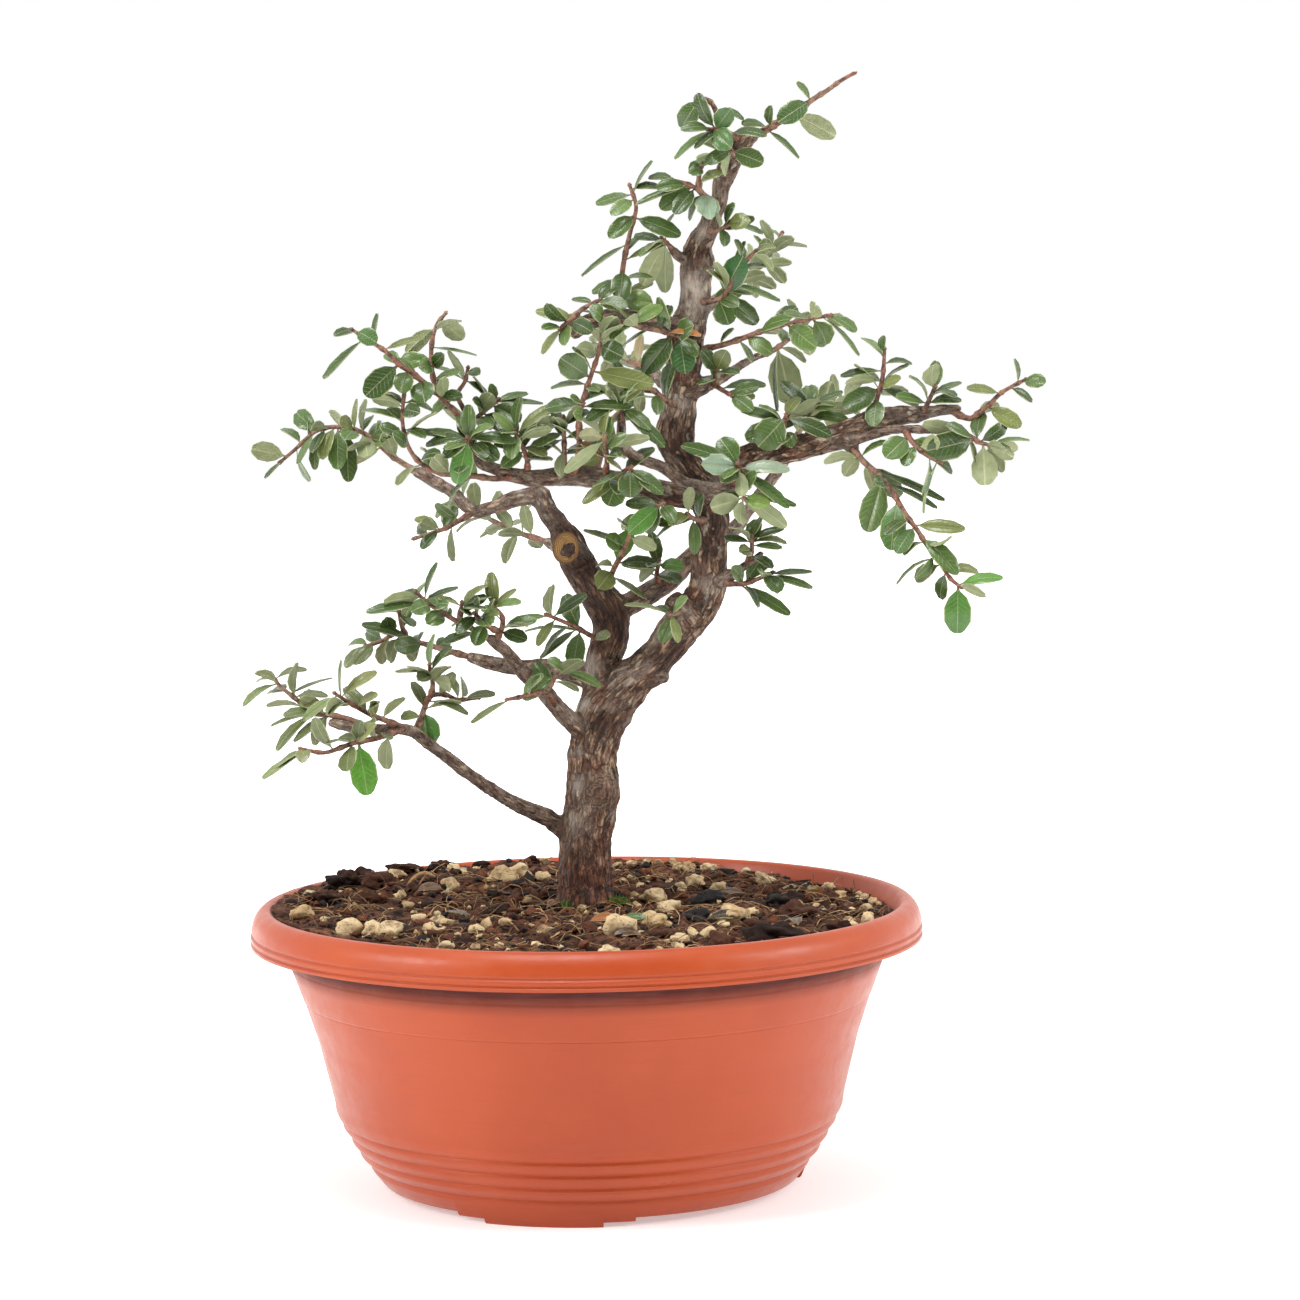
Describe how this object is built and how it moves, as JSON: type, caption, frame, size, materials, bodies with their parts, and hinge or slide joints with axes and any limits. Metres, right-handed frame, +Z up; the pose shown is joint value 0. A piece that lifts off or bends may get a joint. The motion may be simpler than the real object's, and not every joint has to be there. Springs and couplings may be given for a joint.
{
  "type": "bonsai tree",
  "caption": "Bearberry cotoneaster bonsai: a curved trunk with spreading, finely leaved branches, in soil in a round footed bowl with a rolled rim.",
  "frame": {"origin": "on the ground under the middle of the whole plant and bowl", "axes": "+Z up along the tree's height, -Y towards the front the picture shows, +X to the right of that view"},
  "size_m": [0.3177, 0.269, 0.4408],
  "materials": {
    "bowl_plastic": "injection-moulded terracotta-coloured plastic, satin, slightly mottled",
    "soil": "loose damp peat and bark with pale grit",
    "bark": "rough fibrous brown bark with grey patches",
    "foliage": "small leathery evergreen leaves, satin above and pale and matte beneath, on reddish-brown shoots"
  },
  "bodies": {
    "root": {"bowl": "bowl_plastic", "soil": "soil", "trunk_and_branches": "bark", "shoot_low_left_tip": "foliage", "shoot_low_left_front": "foliage", "shoot_low_left_upper": "foliage", "shoot_low_left_inner": "foliage", "shoot_middle_left_front": "foliage", "shoot_middle_left_centre": "foliage", "shoot_middle_left_back": "foliage", "shoot_middle_left_inner": "foliage", "shoot_fork_left": "foliage", "shoot_left_low": "foliage", "shoot_left_outer": "foliage", "shoot_left_lower_middle": "foliage", "shoot_left_top_outer": "foliage", "shoot_left_top_inner": "foliage", "shoot_left_middle": "foliage", "shoot_centre_left": "foliage", "shoot_centre_middle": "foliage", "shoot_centre_back": "foliage", "shoot_centre_tall": "foliage", "shoot_centre_front": "foliage", "shoot_centre_pale": "foliage", "shoot_stub_top": "foliage", "shoot_trunk_left": "foliage", "shoot_red_fork": "foliage", "shoot_fork_back": "foliage", "shoot_hollow_cut": "foliage", "shoot_right_low": "foliage", "shoot_right_low_spur": "foliage", "shoot_right_inner": "foliage", "shoot_right_inner_low": "foliage", "shoot_stem_front": "foliage", "shoot_limb_round": "foliage", "shoot_limb_second": "foliage", "shoot_limb_upright": "foliage", "shoot_limb_third": "foliage", "shoot_tip_twig": "foliage", "shoot_tip_low": "foliage", "shoot_hanging": "foliage", "shoot_limb_under": "foliage", "shoot_right_middle_back": "foliage", "shoot_right_middle_inner": "foliage", "shoot_right_middle_front": "foliage", "shoot_crown_right": "foliage", "shoot_crown_left": "foliage", "shoot_crown_front": "foliage", "shoot_crown_tall": "foliage", "shoot_crown_link": "foliage", "shoot_upper_left": "foliage", "shoot_upper_right": "foliage", "shoot_apex_left": "foliage", "shoot_apex_front": "foliage", "shoot_apex_right": "foliage", "shoot_rear_left": "foliage", "shoot_rear_low": "foliage", "shoot_rear_right": "foliage", "shoot_rear_top": "foliage"}
  },
  "joints": []
}
